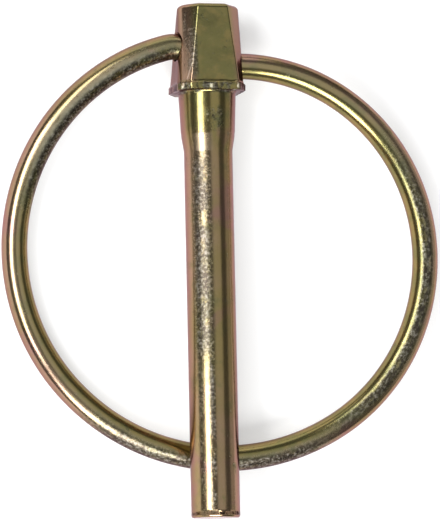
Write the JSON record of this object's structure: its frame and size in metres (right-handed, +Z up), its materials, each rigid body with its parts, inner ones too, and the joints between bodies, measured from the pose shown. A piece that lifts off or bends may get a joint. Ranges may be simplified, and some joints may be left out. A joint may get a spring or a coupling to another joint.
{
  "type": "linch pin",
  "caption": "Forged linch pin with a tapered head, a short collar and a plain shank, held in place by a hinged spring wire ring that snaps over its far end.",
  "frame": {"origin": "on the shank's axis, where the collar meets the head's underside", "axes": "+Y along the shank towards the head, +Z up, the side that the head's front faces; the closed ring passes under the shank on the -Z side; +X completes the right-handed frame"},
  "size_m": [0.0412, 0.047, 0.0078],
  "materials": {
    "pin_plating": "yellow iridescent zinc plating on forged steel, semi-gloss, lightly pitted",
    "ring_plating": "yellow-green iridescent zinc plating on spring wire, semi-gloss, darker pitted patches"
  },
  "bodies": {
    "pin": {"pin": "pin_plating"},
    "ring": {"ring": "ring_plating"}
  },
  "joints": [
    {"name": "ring_hinge", "type": "hinge", "parent": "pin", "child": "ring", "pos_m": [0, 0.00376, 0], "axis": [0.9613, -0.2756, 0], "range_deg": [0, 348.4]}
  ]
}
